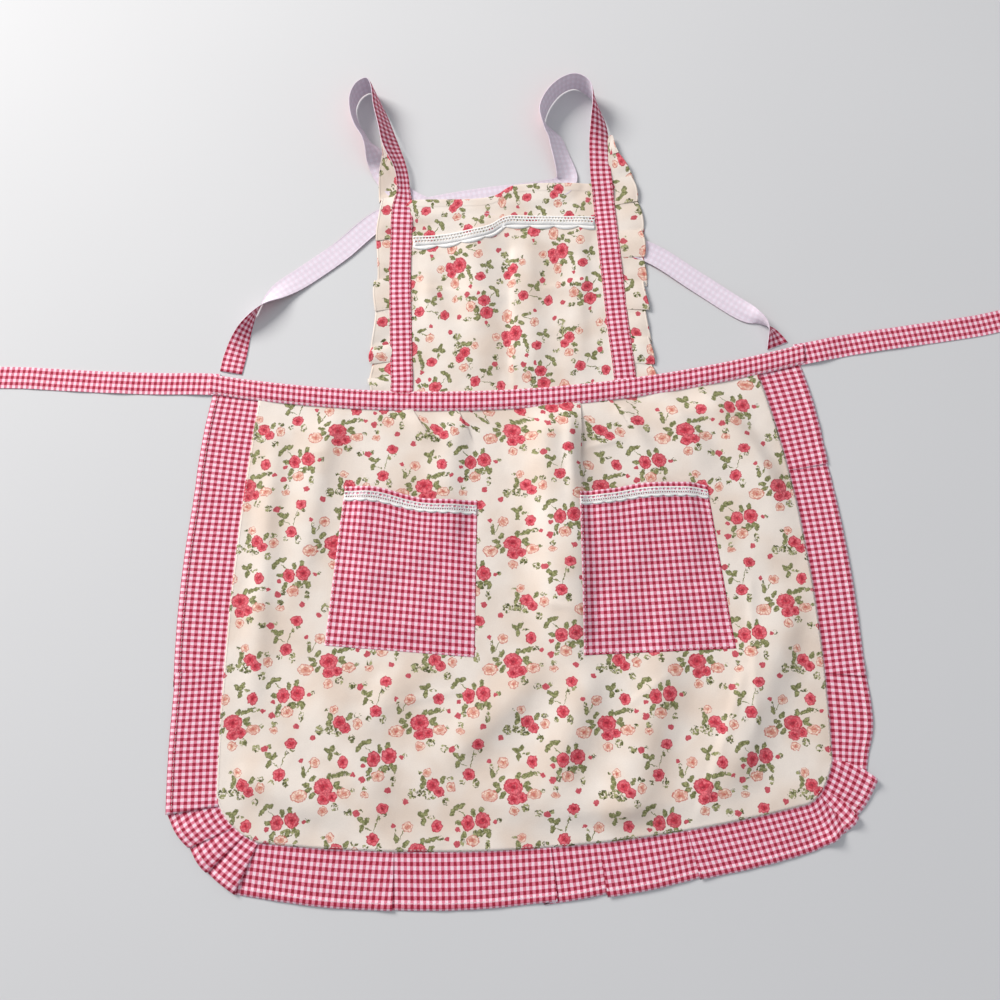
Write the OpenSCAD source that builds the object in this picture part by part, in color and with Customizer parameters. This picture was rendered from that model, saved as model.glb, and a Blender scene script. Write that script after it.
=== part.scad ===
// Frilled bib apron, laid flat, front side up, with its straps crossed behind the bib.
// Millimetres. +Z is up, +X runs across the waist and +Y from the waist to the bib.
// The origin is on the back of the waistband, at the middle of the waist.

/* [Cloth] */
// Thickness of one layer of cloth, with its loft
cloth_t = 0.8; // [0.6:0.1:0.8]
// Thickness of the sewing thread as it stands on the cloth
thread_t = 0.3; // [0.2:0.05:0.4]
// Width of a row of stitches
thread_w = 0.6; // [0.4:0.1:0.8]

/* [Waistband] */
// Finished width of the waistband
band_w = 22; // [20:1:24]
// Radius of the shallow curve that the waistband lies in
band_r = 1550; // [1500:10:1600]

/* [Ties] */
// Finished width of the waist ties and the shoulder straps
strap_w = 25; // [22:1:26]
// Length of each waist tie
tie_len = 800; // [700:10:900]
// How many runs the unused end of a tie is folded into
hank_runs = 5; // [3:1:6]
// Height of the folded end of a tie
hank_h = 9; // [8:1:12]

/* [Bib] */
// Thickness of the stack that lies under the bib, where the straps cross
under_bib = 2.2; // [2.2:0.1:2.6]
// Width of the lace across the bib
bib_lace_w = 15; // [12:1:18]
// How far the lace lies below the top edge of the bib
bib_lace_drop = 40; // [35:1:45]

/* [Pockets] */
// How far a pocket's mouth stands open from the skirt
pocket_bulge = 7; // [6:0.5:12]
// Width of the flat margin that is sewn down
pocket_margin = 6; // [5:1:8]
// Distance from a sewn edge to the part that stands open
pocket_slope = 24; // [18:1:30]
// Width of the lace on a pocket
pocket_lace_w = 10; // [8:1:12]

/* [Hidden] */

$fn = 64;
steps = 16;                       // pieces in each smooth curve
gap = 0.3;                        // clear space between parts that move past each other
stitch_inset = 2;                 // from a sewn edge to its row of stitches
lace_t = 0.6;
lace_gap = 0.1;                   // between a lace and the cloth that it is sewn on
pocket_lace_drop = 5;             // from a pocket's mouth to its lace
cut = [400, 200];                 // how far the shapes that trim other parts reach past them
cut_h = 30;

// Heights of the layers.
skirt_t = 1.0;
allowance_z = cloth_t;
allowance_inset = 3;              // the sewn-in edge of the skirt lies this far inside the waistband
band_front_z = allowance_z + 2 * cloth_t;
bib_z = under_bib;
on_bib_z = bib_z + cloth_t + 2 * lace_gap;

// The waistband's upper edge is lowest a little to the left of the middle.
band_low = [-88, 6.5];
band_ends = [-336, 328];

// Seams between the skirt and its ruffle, and the ruffle's outer edge, as three-point curves.
seam_left = [[-282, -9], [-306, -230], [-300, -420]];
seam_corner_left = [[-300, -420], [-292, -450], [-255, -465]];
seam_bottom = [[-255, -465], [30, -492], [290, -430]];
seam_corner_right = [[290, -430], [322, -428], [325, -385]];
seam_right = [[325, -385], [328, -150], [277, 21]];
edge_left = [[-334, -4], [-362, -230], [-348, -438]];
edge_corner_left = [[-348, -438], [-320, -482], [-276, -514]];
edge_bottom = [[-276, -514], [0, -552], [300, -472]];
edge_corner_right = [[300, -472], [362, -448], [371, -385]];
edge_right = [[371, -385], [362, -130], [326, 30]];
// Rows of stitches on the ruffle, as shares of the way from its seam to its edge.
seam_row = 0.04;
hem_row = 0.87;

// The bib folds forward about this line, which runs through the two sewn ends of the straps.
fold_from = [-315, 27];
fold_to = [300, 59];

// Middle of each strap where it is sewn on the bib, from the waist up, and the top edge of the bib.
sewn_left = [[-123, 0], [-127, 130], [-127, 250]];
sewn_right = [[125, 10], [117, 130], [108, 262]];
bib_top = [[-127, 240], [-30, 244], [10, 261], [108, 263]];
bib_lace_ends = [-113, 95];       // between the inner edges of the two straps
sewn_top = 245;                   // the straps are sewn down as far as this

// Outer edge of each frill, from the waist up to where it tapers out beside the strap.
frill_edge_left = [[-160, 0], [-157, 105], [-155, 200], [-153, 290], [-154, 338]];
frill_edge_right = [[163, 10], [157, 60], [153, 160], [151, 226], [137, 282], [116, 328]];

// Pocket corners: upper left, upper right, lower right, lower left.
corners_left = [[-182, -101], [-38, -117], [-40, -283], [-197, -271]];
corners_right = [[72, -108], [212, -98], [233, -274], [74, -281]];

// Free run of each strap: x, y, z and the turn of the cloth about its own line,
// 0 with the front up, 90 on edge and 180 with the back up, and last, where the
// cloth is gathered by a twist, the share of its width that it keeps.
free_left = [
    [-124, 38, 3.6, 0], [-126, 90, 3.6, 0], [-128, 140, 3.6, 0], [-128, 190, 3.6, 0], [-127, 228, 4, 2],
    [-126, 250, 6, 12, 0.65], [-128, 270, 9, 24, 0.6], [-133, 286, 11.5, 34, 0.75], [-141, 302, 13.3, 42],
    [-149, 328, 13.8, 56], [-155, 352, 13.5, 68], [-162, 374, 13.5, 86],
    [-172, 385, 13.5, 95], [-183, 378, 13.5, 95], [-189, 360, 13.5, 95], [-187, 340, 13.5, 100],
    [-180, 322, 11, 120], [-170, 306, 4.5, 155], [-158, 288, 1.5, 180], [-141, 262, 1.5, 180],
    [-112, 237, 1.5, 180], [-60, 219, 1.5, 180], [0, 206, 1.5, 180], [80, 194, 1.5, 180],
    [153, 177, 1.2, 180], [211, 139, 1.0, 180],
    [262, 102, 3, 195, 0.9], [281, 90, 7.5, 250, 0.55], [293, 77, 5, 320, 0.7], [300, 61, 0.8, 360]
];
free_right = [
    [124, 51, 3.6, 0], [120, 90, 3.6, 0], [116, 140, 3.6, 0], [112, 190, 3.6, 0], [108, 240, 3.8, 0],
    [105, 275, 5.5, 4], [104, 308, 8, 14], [104, 336, 11.2, 36], [101, 362, 13, 72], [91, 383, 13.5, 98],
    [76, 391, 12.8, 110], [60, 385, 12.3, 116], [46, 369, 12.3, 118], [39, 351, 12.5, 118],
    [46, 331, 8.5, 148], [57, 311, 1.5, 179], [61, 288, 0.7, 180], [52, 267, 0.5, 180],
    [24, 254, 0.5, 180], [-30, 246, 0.5, 180], [-90, 234, 0.5, 180], [-150, 218, 0.5, 180],
    [-198, 176, 0.5, 180], [-240, 144, 1, 182],
    [-268, 124, 3, 200, 0.9], [-288, 101, 7.5, 258, 0.55], [-302, 76, 5, 325, 0.7], [-311, 50, 1.2, 358],
    [-315, 29, 0.8, 360]
];

// Ties: direction in which each lies, how far it runs before its end is folded, and its height.
tie_turn = [178, 10];
tie_run = 250;
tie_t = 2 * cloth_t;
tie_z = skirt_t + gap;
pivot_clear = 3.5;                // room for a tie's edge as it swings past the end of the waistband

// ---- geometry ----

function mix(a, b, t) = a + (b - a) * t;
function curve(p, t) = (1 - t) * (1 - t) * p[0] + 2 * t * (1 - t) * p[1] + t * t * p[2];
function along(p) = [for (i = [0:steps]) curve(p, i / steps)];
function reversed(list) = [for (i = [len(list) - 1:-1:0]) list[i]];

function band_top(x) = band_low.y + pow(x - band_low.x, 2) / (2 * band_r);
function band_line(from, to, down) =
    [for (i = [0:steps]) let (x = mix(from, to, i / steps)) [x, band_top(x) - down]];

// Smooth curve through a list of points of any size, with `per` pieces between two points.
function joined(p, i, t) =
    let (a = p[max(i - 1, 0)], b = p[i], c = p[i + 1], d = p[min(i + 2, len(p) - 1)])
    0.5 * (2 * b + (c - a) * t + (2 * a - 5 * b + 4 * c - d) * t * t + (3 * b - a - 3 * c + d) * t * t * t);
function smooth(p, per = 3) =
    concat([for (i = [0:len(p) - 2], k = [0:per - 1]) joined(p, i, k / per)], [p[len(p) - 1]]);

// Strip of cloth swept along [x, y, z, turn] points. Its front faces up where the turn is 0.
module ribbon(route, width, thick) {
    p = smooth([for (r = route) [r[0], r[1], r[2], r[3], len(r) > 4 ? r[4] : 1]]);
    last = len(p) - 1;
    function place(i) = [p[i][0], p[i][1], p[i][2]];
    function ahead(i) = let (d = place(min(i + 1, last)) - place(max(i - 1, 0))) d / norm(d);
    function level(i) = let (h = cross(ahead(i), [0, 0, 1])) h / norm(h);
    function across(i) = let (up = cross(level(i), ahead(i))) cos(p[i][3]) * level(i) - sin(p[i][3]) * up;
    function face(i) = cross(across(i), ahead(i));
    rings = [for (i = [0:last], c = [[-1, -1], [1, -1], [1, 1], [-1, 1]])
        place(i) + c[0] * across(i) * p[i][4] * width / 2 + c[1] * face(i) * thick / 2];
    sides = [for (i = [0:last - 1], k = [0:3])
        let (a = 4 * i + k, b = 4 * i + (k + 1) % 4) each [[a, b, b + 4], [a, b + 4, a + 4]]];
    foot = 4 * last;
    ends = [[3, 2, 1], [3, 1, 0], [foot, foot + 1, foot + 2], [foot, foot + 2, foot + 3]];
    polyhedron(rings, concat(sides, ends));
}

// Flat layer of cloth between two edges that run the same way.
module layer(one, other, z, thick) {
    translate([0, 0, z]) linear_extrude(thick) polygon(concat(one, reversed(other)));
}

// Everything on the waist's side of the fold line, or beyond it.
module fold_side(beyond) {
    reach = 900;
    angle = atan2(fold_to.y - fold_from.y, fold_to.x - fold_from.x);
    translate([fold_from.x, fold_from.y, 0]) rotate([0, 0, angle])
        translate([-reach, beyond ? gap / 2 : -reach - gap / 2, -1]) cube([2.5 * reach, reach, 60]);
}

// ---- skirt and ruffle ----

module skirt_panel() {
    waist = band_line(seam_left[0].x, seam_right[2].x, band_w);
    color("ivory") linear_extrude(skirt_t)
        polygon(concat(reversed(waist), along(seam_left), along(seam_corner_left), along(seam_bottom),
            along(seam_corner_right), along(seam_right)));
}

module ruffle(seam, edge) {
    color("palevioletred") layer(along(seam), along(edge), 0, skirt_t);
}

// The ruffle's upper ends are cut to the waistband and kept clear of the ties' pivots.
module ruffle_side(seam, edge) {
    difference() {
        ruffle(seam, edge);
        waist_cut();
        for (side = [0, 1]) pivot_room(side);
    }
}

module waist_cut() {
    layer(band_line(-cut.x, cut.x, band_w), [for (x = [-cut.x, cut.x]) [x, cut.y]], -1, cut_h);
}

// Row of stitches part of the way from the seam of a ruffle to its edge.
module ruffle_row(seam, edge, part) {
    one = along(seam);
    other = along(edge);
    wide = thread_w / norm(edge[0] - seam[0]);
    function line_at(share) = [for (i = [0:steps]) mix(one[i], other[i], share)];
    layer(line_at(part), line_at(part + wide), skirt_t, thread_t);
}

module ruffle_rows(part) {
    color("white") difference() {
        union() {
            ruffle_row(seam_left, edge_left, part);
            ruffle_row(seam_right, edge_right, part);
        }
        waist_cut();
    }
    color("white") {
        ruffle_row(seam_corner_left, edge_corner_left, part);
        ruffle_row(seam_bottom, edge_bottom, part);
        ruffle_row(seam_corner_right, edge_corner_right, part);
    }
}

module hem_stitching() {
    ruffle_rows(hem_row);
}

module ruffle_seam_stitching() {
    ruffle_rows(seam_row);
}

// ---- waistband ----

module pivot_room(side) {
    x = band_ends[side];
    translate([x, band_top(x) - band_w / 2, -1]) cylinder(r = strap_w / 2 + pivot_clear, h = cut_h);
}

module band_layer(z, thick, from_top = 0, width = band_w) {
    difference() {
        layer(band_line(band_ends[0], band_ends[1], from_top),
            band_line(band_ends[0], band_ends[1], from_top + width), z, thick);
        for (side = [0, 1]) pivot_room(side);
    }
}

module waistband_back() {
    color("lavenderblush") band_layer(0, cloth_t);
}

module waist_seam_allowance() {
    color("ivory") band_layer(allowance_z, 2 * cloth_t, allowance_inset, band_w - 2 * allowance_inset);
}

module waistband_front() {
    color("palevioletred") band_layer(band_front_z, cloth_t);
}

module waistband_stitching() {
    color("white") for (down = [stitch_inset, band_w - stitch_inset - thread_w])
        band_layer(band_front_z + cloth_t, thread_t, down, thread_w);
}

// ---- pockets ----

// Point on a pocket, `right` of its left edge and `down` from its mouth.
function on_pocket(q, right, down) =
    let (u = right / norm(q[1] - q[0]), v = down / norm(q[2] - q[1]))
    mix(mix(q[0], q[1], u), mix(q[3], q[2], u), v);
// Height of the open part of a pocket above its sewn margin.
function puff(q, right, down) =
    let (edge = min(right, norm(q[1] - q[0]) - right, norm(q[2] - q[1]) - down))
    pocket_bulge * min(1, max(0, (edge - pocket_margin) / (pocket_slope - pocket_margin)));

// Cloth that follows a pocket's shape, between the given places across it and down it.
module pocket_cloth(q, rights, downs, z, thick) {
    nx = len(rights);
    ny = len(downs);
    low = [for (d = downs, r = rights) let (p = on_pocket(q, r, d)) [p.x, p.y, z + puff(q, r, d)]];
    high = [for (p = low) p + [0, 0, thick]];
    n = nx * ny;
    rim = concat([for (i = [0:nx - 1]) i], [for (j = [1:ny - 1]) j * nx + nx - 1],
        [for (i = [nx - 2:-1:0]) (ny - 1) * nx + i], [for (j = [ny - 2:-1:1]) j * nx]);
    cells = [for (j = [0:ny - 2], i = [0:nx - 2]) let (a = j * nx + i, b = a + 1, c = b + nx, d = a + nx)
        each [[a, b, c], [a, c, d]]];
    polyhedron(concat(low, high), concat(
        [for (f = cells) [f[2], f[1], f[0]]],
        [for (f = cells) [f[0] + n, f[1] + n, f[2] + n]],
        [for (k = [0:len(rim) - 1]) let (a = rim[k], b = rim[(k + 1) % len(rim)])
            each [[a, b, b + n], [a, b + n, a + n]]]));
}

module pocket(q) {
    w = norm(q[1] - q[0]);
    h = norm(q[2] - q[1]);
    color("pink") pocket_cloth(q, [0, pocket_margin, pocket_slope, w - pocket_slope, w - pocket_margin, w],
        [0, h - pocket_slope, h - pocket_margin, h], skirt_t, cloth_t);
}

module pocket_lace(q) {
    w = norm(q[1] - q[0]);
    color("white") pocket_cloth(q, [pocket_margin, pocket_slope, w - pocket_slope, w - pocket_margin],
        [pocket_lace_drop, pocket_lace_drop + pocket_lace_w], skirt_t + cloth_t + lace_gap, lace_t);
}

module pocket_stitching(q) {
    w = norm(q[1] - q[0]);
    h = norm(q[2] - q[1]);
    module ring(in, top)
        polygon([on_pocket(q, in, top), on_pocket(q, w - in, top), on_pocket(q, w - in, h - in),
            on_pocket(q, in, h - in)]);
    color("white") translate([0, 0, skirt_t + cloth_t]) linear_extrude(thread_t) difference() {
        ring(stitch_inset, 0);
        ring(stitch_inset + thread_w, -1);
    }
}

// ---- bib ----

module bib_cloth() {
    left = [for (p = along(sewn_left)) if (p.y < bib_top[0].y) p];
    right = [for (p = along(sewn_right)) if (p.y < bib_top[3].y - 1) p];
    color("ivory") layer(concat(left, smooth(bib_top, 4)), right, bib_z, cloth_t);
}

module frill(sewn, edge) {
    outer = smooth(edge, 4);
    tip = outer[len(outer) - 1];
    color("ivory") layer(concat(along(sewn), [tip]), outer, bib_z, cloth_t);
}

module sewn_strap(sewn) {
    side = [strap_w / 2, 0];
    color("palevioletred") layer([for (p = along(sewn)) p - side], [for (p = along(sewn)) p + side],
        on_bib_z, cloth_t);
}

// A part of the bib that stays with the waistband, below the fold line.
module base_of_bib() {
    difference() {
        intersection() {
            children();
            fold_side(false);
        }
        layer(band_line(-cut.x, cut.x, 0), [for (x = [-cut.x, cut.x]) [x, -cut.y]], -1, cut_h);
    }
}

module beyond_fold() {
    intersection() {
        children();
        fold_side(true);
    }
}

module bib_lace() {
    top = [for (p = smooth(bib_top, 12))
        if (p.x > bib_lace_ends[0] && p.x < bib_lace_ends[1]) p - [0, bib_lace_drop]];
    color("white") layer(top, [for (p = top) p - [0, bib_lace_w]], on_bib_z, lace_t);
}

module strap_stitching(route) {
    sewn = [for (p = route) if (p.y < sewn_top && p[3] == 0) p];
    for (side = [-1, 1])
        color("white") ribbon(
            [for (p = sewn) p + [side * (strap_w / 2 - stitch_inset), 2, cloth_t / 2 + thread_t, 0]],
            thread_w, thread_t);
}

module shoulder_strap(route) {
    color("palevioletred") ribbon(route, strap_w, cloth_t);
}

// ---- waist ties ----

module waist_tie(side) {
    x = band_ends[side];
    hank = (tie_len - tie_run) / hank_runs;
    color("palevioletred") translate([x, band_top(x) - band_w / 2, 0]) rotate([0, 0, tie_turn[side]]) {
        translate([0, 0, tie_z]) cylinder(r = strap_w / 2, h = tie_t);
        translate([0, -strap_w / 2, tie_z]) cube([tie_run, strap_w, tie_t]);
        translate([tie_run, -strap_w / 2, 0]) cube([hank, strap_w, hank_h]);
    }
}

skirt_panel();
ruffle_side(seam_left, edge_left);  // ruffle_left
ruffle(seam_corner_left, edge_corner_left);  // ruffle_corner_left
ruffle(seam_bottom, edge_bottom);  // ruffle_bottom
ruffle(seam_corner_right, edge_corner_right);  // ruffle_corner_right
ruffle_side(seam_right, edge_right);  // ruffle_right
ruffle_seam_stitching();
hem_stitching();
waistband_back();
waist_seam_allowance();
waistband_front();
waistband_stitching();
pocket(corners_left);  // pocket_left
pocket(corners_right);  // pocket_right
pocket_lace(corners_left);  // pocket_lace_left
pocket_lace(corners_right);  // pocket_lace_right
pocket_stitching(corners_left);  // pocket_stitching_left
pocket_stitching(corners_right);  // pocket_stitching_right
base_of_bib() bib_cloth();  // bib_base
base_of_bib() frill(sewn_left, frill_edge_left);  // frill_base_left
base_of_bib() frill(sewn_right, frill_edge_right);  // frill_base_right
base_of_bib() sewn_strap(sewn_left);  // strap_base_left
base_of_bib() sewn_strap(sewn_right);  // strap_base_right
beyond_fold() bib_cloth();  // bib_panel
bib_lace();
beyond_fold() frill(sewn_left, frill_edge_left);  // frill_left
beyond_fold() frill(sewn_right, frill_edge_right);  // frill_right
shoulder_strap(free_left);  // shoulder_strap_left
shoulder_strap(free_right);  // shoulder_strap_right
strap_stitching(free_left);  // strap_stitching_left
strap_stitching(free_right);  // strap_stitching_right
waist_tie(0);  // waist_tie_left
waist_tie(1);  // waist_tie_right
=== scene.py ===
"""A frilled bib apron laid flat, front side up. Lengths are in millimetres up to the last step of each
piece, where mesh() turns them into metres. Plan shapes repeat the design's own curves."""

import functools
import math

import bpy
import numpy as np
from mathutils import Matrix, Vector


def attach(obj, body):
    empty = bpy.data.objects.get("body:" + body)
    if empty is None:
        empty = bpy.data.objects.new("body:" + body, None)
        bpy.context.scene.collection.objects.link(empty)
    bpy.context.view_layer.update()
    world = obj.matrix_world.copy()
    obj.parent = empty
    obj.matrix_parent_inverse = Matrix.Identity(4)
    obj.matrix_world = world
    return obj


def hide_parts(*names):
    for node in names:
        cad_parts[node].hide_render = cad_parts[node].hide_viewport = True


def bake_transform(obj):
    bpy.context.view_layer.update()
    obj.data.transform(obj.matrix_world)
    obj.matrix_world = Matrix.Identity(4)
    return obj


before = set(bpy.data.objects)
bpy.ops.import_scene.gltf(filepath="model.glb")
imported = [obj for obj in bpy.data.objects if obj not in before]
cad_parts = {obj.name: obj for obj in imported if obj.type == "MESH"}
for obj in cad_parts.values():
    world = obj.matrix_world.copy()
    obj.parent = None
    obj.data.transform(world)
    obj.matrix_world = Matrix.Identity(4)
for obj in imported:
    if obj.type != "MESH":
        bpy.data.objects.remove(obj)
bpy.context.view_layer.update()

MM = 0.001
CLOTH = 0.45  # one layer of cotton
BAND_W, STRAP_W = 22, 25
BAND_ENDS = (-336, 328)
BAND_LOW, BAND_R = (-88, 6.5), 1550

# ---- camera and lights

TARGET = Vector((-0.0134, -0.1157, 0))
CAMERA_AT = Vector((-0.0134, -0.2643, 0.8015))


def aimed(obj, at, target):
    obj.location = at
    obj.rotation_euler = (target - at).to_track_quat("-Z", "Y").to_euler()
    bpy.context.scene.collection.objects.link(obj)
    return obj


def make_camera():
    data = bpy.data.cameras.new("camera")
    data.lens, data.sensor_width = 27, 36
    bpy.context.scene.camera = aimed(bpy.data.objects.new("camera", data), CAMERA_AT, TARGET)


def make_light(name, at, size, power, colour):
    data = bpy.data.lights.new(name, "AREA")
    data.shape, data.size, data.energy, data.color = "SQUARE", size, power, colour
    aimed(bpy.data.objects.new(name, data), Vector(at), TARGET)


make_camera()

# ---- plan shapes


def mix(a, b, t):
    return a + (b - a) * t


def ease(t):
    t = np.clip(t, 0, 1)
    return t * t * (3 - 2 * t)


def bump(distance, width):
    """1 where distance is 0, falling to almost nothing at twice the width."""
    return np.exp(-((distance / width) ** 2))


def bezier(*points):
    """65 points of the curve from the first point to the third that bends towards the second."""
    a, b, c = np.array(points, float)
    t = np.linspace(0, 1, 65)[:, None]
    return (1 - t) ** 2 * a + 2 * t * (1 - t) * b + t**2 * c


def chained(*points):
    """Curves that follow one another; every other point is where two of them meet."""
    return [bezier(*points[k:k + 3]) for k in range(0, len(points) - 2, 2)]


def smooth(points, per):
    """Catmull-Rom curve through points of any size, with `per` pieces between two of them."""
    p = np.array(points, float)
    rows = []
    for i in range(len(p) - 1):
        a, b, c, d = p[max(i - 1, 0)], p[i], p[i + 1], p[min(i + 2, len(p) - 1)]
        for t in np.arange(per) / per:
            rows.append(0.5 * (2 * b + (c - a) * t + (2 * a - 5 * b + 4 * c - d) * t * t
                               + (3 * b - a - 3 * c + d) * t**3))
    return np.array(rows + [p[-1]])


def unit(vectors):
    return vectors / np.linalg.norm(vectors, axis=-1, keepdims=True)


def run_along(line):
    """How far along a line each of its points lies."""
    return np.concatenate([[0], np.cumsum(np.linalg.norm(np.diff(line, axis=0), axis=1))])


def length(line):
    return float(run_along(line)[-1])


def frame_along(line):
    """Unit vectors at each point of a line: ahead, level to its right, and up."""
    ahead = unit(np.gradient(line, axis=0))
    level = unit(np.cross(ahead, (0, 0, 1)))
    return ahead, level, np.cross(level, ahead)


def between_points(at, known, line):
    """The line's points at the places `at`, where its own points are at the places `known`."""
    return np.stack([np.interp(at, known, values) for values in line.T], axis=-1)


def by_share(line, share):
    """Points of a line by the share of its points that lie before them."""
    return between_points(share, np.linspace(0, 1, len(line)), line)


def resampled(line, n):
    """The same line with n + 1 points, evenly spaced along its plan."""
    run = run_along(line[:, :2])
    return between_points(np.linspace(0, run[-1], n + 1), run, line)


# The ruffle's seam and outer edge, from the waistband's left end round to its right end.
SEAMS = chained((-282, -9), (-306, -230), (-300, -420), (-292, -450), (-255, -465), (30, -492), (290, -430),
                (314, -428), (325, -385), (328, -150), (277, 21))
EDGES = chained((-334, -4), (-362, -230), (-348, -438), (-320, -482), (-276, -514), (0, -552), (300, -472),
                (362, -448), (371, -385), (362, -130), (326, 30))
SEAM_LEFT, SEAM_CORNER_LEFT, SEAM_BOTTOM, SEAM_CORNER_RIGHT, SEAM_RIGHT = SEAMS
EDGE_LEFT, EDGE_CORNER_LEFT, EDGE_BOTTOM, EDGE_CORNER_RIGHT, EDGE_RIGHT = EDGES
# The lower end of the right edge lies further in, where the ruffle turns the corner.
EDGE_RIGHT[:, 0] -= 9 * bump(EDGE_RIGHT[:, 1] + 388, 24)

SEWN_LEFT = bezier((-123, 0), (-127, 130), (-127, 250))
SEWN_RIGHT = bezier((125, 10), (117, 130), (108, 262))
BIB_TOP = smooth([(-127, 240), (-30, 244), (10, 261), (108, 263)], 16)
FRILL_LEFT = smooth([(-160, 0), (-157, 105), (-155, 200), (-153, 290), (-154, 338)], 16)
FRILL_RIGHT = smooth([(163, 10), (157, 60), (153, 160), (151, 226), (137, 282), (116, 328)], 16)

CORNERS_LEFT = [(-182, -101), (-38, -117), (-40, -283), (-197, -271)]
CORNERS_RIGHT = [(72, -108), (212, -98), (233, -274), (74, -281)]

# Free run of each strap: x, y, z, the turn of the cloth about its own line and the share of its width.
FREE_LEFT = [
    (-124, 38, 3.6, 0), (-126, 90, 3.6, 0), (-128, 140, 3.6, 0), (-128, 190, 3.6, 0), (-127, 228, 4, 2),
    (-126, 250, 6, 12, 0.65), (-128, 270, 9, 24, 0.6), (-133, 286, 11.5, 34, 0.75), (-141, 304, 13.3, 42),
    (-148, 328, 13.8, 52), (-155, 352, 13.5, 60), (-161, 373, 13.5, 78), (-168, 384, 13.2, 90),
    (-175, 384, 12.9, 94), (-184, 376, 12.8, 96), (-189, 360, 12.8, 98), (-186, 341, 12.8, 104),
    (-179, 326, 12.3, 112), (-170, 312, 11.6, 114), (-163, 301, 7.9, 142), (-158, 290, 3.5, 165),
    (-149, 272, 1.2, 179), (-125, 246, 1.5, 180), (-98, 231, 1.5, 180), (-55, 217, 1.5, 180),
    (0, 206, 1.5, 180), (80, 194, 1.5, 180), (153, 177, 1.2, 180), (211, 139, 1.0, 180),
    (262, 102, 3, 195, 0.9), (281, 90, 7.5, 250, 0.55), (293, 77, 5, 320, 0.7), (300, 61, 0.8, 360),
]
FREE_RIGHT = [
    (124, 51, 3.6, 0), (120, 90, 3.6, 0), (116, 140, 3.6, 0), (112, 190, 3.6, 0), (108, 240, 3.8, 0),
    (105, 275, 5.5, 4), (104, 308, 8, 14), (104, 336, 11.2, 36), (101, 360, 13, 66), (93, 380, 13.4, 90),
    (77, 390, 13, 93), (60, 384, 12.9, 98), (46, 369, 12.6, 105), (38, 352, 12.6, 108), (37, 340, 12.6, 108),
    (44, 328, 10.2, 127), (52, 317, 8.4, 141), (56, 304, 7.2, 147), (60, 291, 5.6, 154), (64, 278, 3.2, 166),
    (65, 267, 1.3, 178), (56, 258, 0.9, 180), (38, 254, 0.8, 180), (10, 250, 0.6, 180), (-30, 245, 0.5, 180),
    (-90, 234, 0.5, 180), (-150, 218, 0.5, 180), (-198, 176, 0.5, 180), (-240, 144, 1, 182),
    (-268, 124, 3, 200, 0.9), (-288, 101, 7.5, 258, 0.55), (-302, 76, 5, 325, 0.7), (-311, 50, 1.2, 358),
    (-315, 29, 0.8, 360),
]
UNDER_BIB = (FREE_LEFT[22:28], FREE_RIGHT[19:27])  # the part of each that crosses behind the bib
# Sewn foot of each strap, under the waistband's edge, before the points above.
FOOT_LEFT = [(-123, 3, 3.2, 0), (-123, 20, 3.6, 0)]
FOOT_RIGHT = [(127, 9, 3.2, 0), (126, 30, 3.6, 0)]

TIE_TURN = (178, 10)
TIE_LENGTH, TIE_RUN, HANK_RUNS = 800, 250, 5

FOLD_FROM, FOLD_TO = np.array((-315.0, 27.0)), np.array((300.0, 59.0))  # the line that the bib folds along


def band_top(x):
    return BAND_LOW[1] + (x - BAND_LOW[0]) ** 2 / (2 * BAND_R)


def ripple(x, y, size, seed):
    """Smooth random height from about -1 to 1, with bumps about `size` apart."""
    draw = np.random.default_rng(seed)
    total = 0
    for _ in range(9):
        angle, phase = draw.uniform(0, 2 * math.pi, 2)
        wave = size * draw.uniform(0.7, 1.8)
        total = total + np.sin((x * math.cos(angle) + y * math.sin(angle)) * 2 * math.pi / wave + phase)
    return total / 4


def ridge(x, y, start, end, height, left, right, fade=(0.25, 0.25)):
    """Height of a soft fold from start to end; left and right are how far it spreads to each side."""
    (x0, y0), (x1, y1) = start, end
    long = math.hypot(x1 - x0, y1 - y0)
    dx, dy = (x1 - x0) / long, (y1 - y0) / long
    along = ((x - x0) * dx + (y - y0) * dy) / long
    off = -(x - x0) * dy + (y - y0) * dx
    width = np.where(off > 0, left, right)
    ends = ease((along + fade[0]) / (2 * fade[0])) * ease((1 + fade[1] - along) / (2 * fade[1]))
    return height * bump(off, width) * ends


# ---- how the cloth lies

# Soft folds of the skirt: start, end, height, spread to the left and to the right of that direction.
SKIRT_FOLDS = [
    ((38, -8), (44, -250), 9, 34, 22, (0.05, 0.3)),
    ((62, -5), (66, -110), 4, 10, 8, (0.1, 0.3)),
    ((-60, -20), (-72, -120), 4, 16, 22, (0.1, 0.4)),
    ((-118, -12), (-92, -48), 3.5, 8, 10, (0.15, 0.5)),
    ((-40, -16), (-14, -95), -2.5, 16, 16, (0.1, 0.5)),
    ((160, 8), (215, -70), 4.5, 14, 22, (0.1, 0.4)),
    ((205, 8), (318, -130), 6, 16, 26, (0.1, 0.3)),
    ((120, -12), (150, -60), 3, 8, 10, (0.1, 0.5)),
    ((72, -110), (70, -275), 5, 12, 22, (0.2, 0.2)),
    ((84, -290), (42, -400), 6, 24, 26, (0.3, 0.3)),
    ((22, -300), (-66, -385), 4.5, 20, 26, (0.3, 0.3)),
    ((160, -285), (112, -440), 5.5, 24, 30, (0.3, 0.2)),
    ((290, -240), (215, -405), 6, 22, 34, (0.3, 0.2)),
    ((-200, -20), (-226, -190), 4, 16, 26, (0.15, 0.4)),
    ((-262, -60), (-268, -300), 4, 14, 24, (0.3, 0.3)),
    ((-210, -310), (-130, -430), 4.5, 26, 22, (0.3, 0.2)),
    ((-110, -300), (-150, -350), 3, 22, 18, (0.4, 0.4)),
    ((-30, -420), (180, -440), 3.5, 26, 22, (0.3, 0.3)),
    ((-280, -395), (-190, -440), 4, 22, 18, (0.3, 0.3)),
]
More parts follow.
